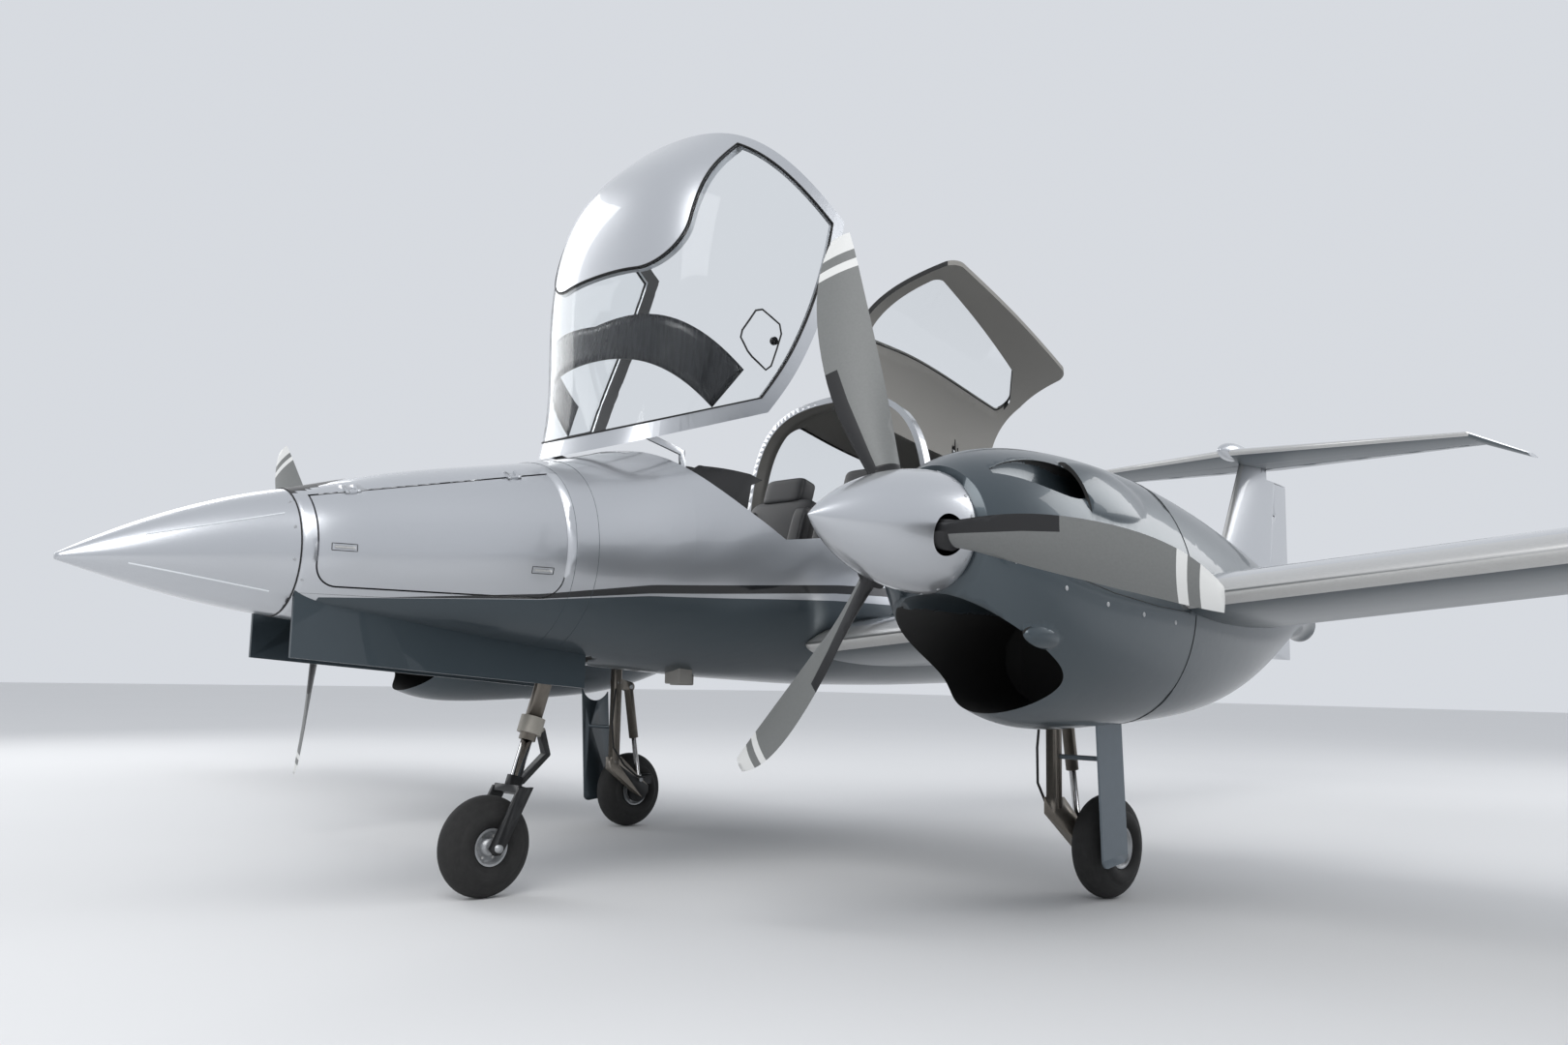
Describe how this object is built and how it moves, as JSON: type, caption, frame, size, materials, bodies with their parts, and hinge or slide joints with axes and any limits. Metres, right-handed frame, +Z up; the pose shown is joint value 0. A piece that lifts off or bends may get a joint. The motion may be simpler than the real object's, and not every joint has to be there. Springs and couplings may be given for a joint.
{
  "type": "light aircraft",
  "caption": "Low-wing composite light aircraft with two engines, T-tail and tricycle gear, front canopy and rear door open.",
  "frame": {"origin": "on the ground, on the symmetry plane, at half of the length between the nose tip and the ends of the tailplane tips", "axes": "+X to the left wing tip, +Y aft, +Z up"},
  "size_m": [13.5546, 8.56, 2.9984],
  "materials": {
    "paint_silver": "silver metallic gloss paint on fibre composite",
    "paint_slate": "dark slate metallic gloss paint on fibre composite",
    "clear_pane": "clear acrylic",
    "blade_grey": "matte grey paint with pale tip bands",
    "gear_steel": "satin",
    "wheel_grey": "cast and painted grey",
    "tyre_black": "dull black",
    "engine_block": null,
    "seat_leather": "black",
    "panel_grey": "dark grey grained"
  },
  "bodies": {
    "airframe": {"cabin_section": "paint_silver", "cowl_left": "paint_slate", "cowl_right": "paint_slate", "engine_left": "engine_block", "engine_right": "engine_block", "fin": "paint_silver", "instrument_panel": "panel_grey", "main_gear_door_left": "paint_slate", "main_gear_door_right": "paint_slate", "main_leg_left": "gear_steel", "main_leg_right": "gear_steel", "nacelle_left": "paint_slate", "nacelle_right": "paint_slate", "nose_cone": "paint_silver", "nose_gear_door_left": "paint_slate", "nose_gear_door_right": "paint_slate", "nose_leg": "gear_steel", "nose_section": "paint_silver", "propeller_shaft_left": "gear_steel", "propeller_shaft_right": "gear_steel", "rear_side_glass": "clear_pane", "seat_front_left": "seat_leather", "seat_front_right": "seat_leather", "seat_rear": "seat_leather", "tail_boom": "paint_silver", "tail_fairing": "paint_silver", "tailplane": "paint_silver", "ventral_fin": "paint_slate", "wing_left": "paint_silver", "wing_right": "paint_silver"},
    "canopy": {"canopy_frame": "paint_silver", "canopy_glass": "clear_pane"},
    "rear_door": {"rear_door": "paint_silver", "rear_door_glass": "clear_pane"},
    "baggage_door_left": {"baggage_door_left": "paint_silver"},
    "baggage_door_right": {"baggage_door_right": "paint_silver"},
    "propeller_left": {"propeller_left": "blade_grey", "spinner_left": "paint_silver"},
    "propeller_right": {"propeller_right": "blade_grey", "spinner_right": "paint_silver"},
    "nose_fork": {"nose_fork": "gear_steel"},
    "nose_wheel": {"nose_wheel": "wheel_grey", "nose_tyre": "tyre_black"},
    "main_wheel_left": {"main_wheel_left": "wheel_grey", "main_tyre_left": "tyre_black"},
    "main_wheel_right": {"main_wheel_right": "wheel_grey", "main_tyre_right": "tyre_black"},
    "rudder": {"rudder": "paint_silver"},
    "elevator": {"elevator": "paint_silver"},
    "aileron_left": {"aileron_left": "paint_silver"},
    "aileron_right": {"aileron_right": "paint_silver"},
    "flap_outer_left": {"flap_outer_left": "paint_silver"},
    "flap_outer_right": {"flap_outer_right": "paint_silver"},
    "flap_inner_left": {"flap_inner_left": "paint_silver"},
    "flap_inner_right": {"flap_inner_right": "paint_silver"}
  },
  "joints": [
    {"name": "canopy_hinge", "type": "hinge", "parent": "airframe", "child": "canopy", "pos_m": [0, -2.422, 1.451], "axis": [1, 0, 0], "range_deg": [-53.5, 0]},
    {"name": "rear_door_hinge", "type": "hinge", "parent": "airframe", "child": "rear_door", "pos_m": [0.029, -0.88, 2.09], "axis": [0, -0.9872, 0.1592], "range_deg": [-98.5, 0]},
    {"name": "baggage_left_hinge", "type": "hinge", "parent": "airframe", "child": "baggage_door_left", "pos_m": [0.128, -3.62, 1.325], "axis": [-0.1427, -0.9708, -0.193], "range_deg": [0, 85]},
    {"name": "baggage_right_hinge", "type": "hinge", "parent": "airframe", "child": "baggage_door_right", "pos_m": [-0.128, -3.62, 1.325], "axis": [-0.1427, 0.9708, 0.193], "range_deg": [0, 85]},
    {"name": "propeller_left_spin", "type": "hinge", "parent": "airframe", "child": "propeller_left", "pos_m": [1.731, -2.64, 1.207], "axis": [0, -1, 0], "continuous": true},
    {"name": "propeller_right_spin", "type": "hinge", "parent": "airframe", "child": "propeller_right", "pos_m": [-1.731, -2.64, 1.207], "axis": [0, -1, 0], "continuous": true},
    {"name": "nose_steering", "type": "hinge", "parent": "airframe", "child": "nose_fork", "pos_m": [0, -2.736, 0.349], "axis": [0, 0.2951, 0.9555], "range_deg": [-30, 30]},
    {"name": "nose_wheel_spin", "type": "hinge", "parent": "nose_fork", "child": "nose_wheel", "pos_m": [0, -2.835, 0.178], "axis": [1, 0, 0], "continuous": true},
    {"name": "main_wheel_left_spin", "type": "hinge", "parent": "airframe", "child": "main_wheel_left", "pos_m": [1.43, -1.051, 0.19], "axis": [1, 0, 0], "continuous": true},
    {"name": "main_wheel_right_spin", "type": "hinge", "parent": "airframe", "child": "main_wheel_right", "pos_m": [-1.43, -1.051, 0.19], "axis": [1, 0, 0], "continuous": true},
    {"name": "rudder_hinge", "type": "hinge", "parent": "airframe", "child": "rudder", "pos_m": [0, 3.51, 1.05], "axis": [0, 0.1977, 0.9803], "range_deg": [-27, 27]},
    {"name": "elevator_hinge", "type": "hinge", "parent": "airframe", "child": "elevator", "pos_m": [0, 3.61, 2.42], "axis": [1, 0, 0], "range_deg": [-13, 15]},
    {"name": "aileron_left_hinge", "type": "hinge", "parent": "airframe", "child": "aileron_left", "pos_m": [4.27, -0.81081, 1.27061], "axis": [0.995, -0.0494, 0.0862], "range_deg": [-20, 20]},
    {"name": "aileron_right_hinge", "type": "hinge", "parent": "airframe", "child": "aileron_right", "pos_m": [-4.27, -0.81081, 1.27061], "axis": [0.995, 0.0494, -0.0862], "range_deg": [-20, 20]},
    {"name": "flap_outer_left_hinge", "type": "hinge", "parent": "airframe", "child": "flap_outer_left", "pos_m": [2.14, -0.70497, 1.08604], "axis": [0.995, -0.0494, 0.0862], "range_deg": [-42, 0]},
    {"name": "flap_outer_right_hinge", "type": "hinge", "parent": "airframe", "child": "flap_outer_right", "pos_m": [-2.14, -0.70497, 1.08604], "axis": [0.995, 0.0494, -0.0862], "range_deg": [-42, 0]},
    {"name": "flap_inner_left_hinge", "type": "hinge", "parent": "airframe", "child": "flap_inner_left", "pos_m": [0.66, -0.63143, 0.95779], "axis": [0.995, -0.0494, 0.0862], "range_deg": [-42, 0]},
    {"name": "flap_inner_right_hinge", "type": "hinge", "parent": "airframe", "child": "flap_inner_right", "pos_m": [-0.66, -0.63143, 0.95779], "axis": [0.995, 0.0494, -0.0862], "range_deg": [-42, 0]}
  ],
  "couplings": [
    {"joint": "aileron_right_hinge", "follows": "aileron_left_hinge", "ratio": -1},
    {"joint": "flap_outer_right_hinge", "follows": "flap_outer_left_hinge", "ratio": 1},
    {"joint": "flap_inner_left_hinge", "follows": "flap_outer_left_hinge", "ratio": 1},
    {"joint": "flap_inner_right_hinge", "follows": "flap_outer_left_hinge", "ratio": 1}
  ]
}
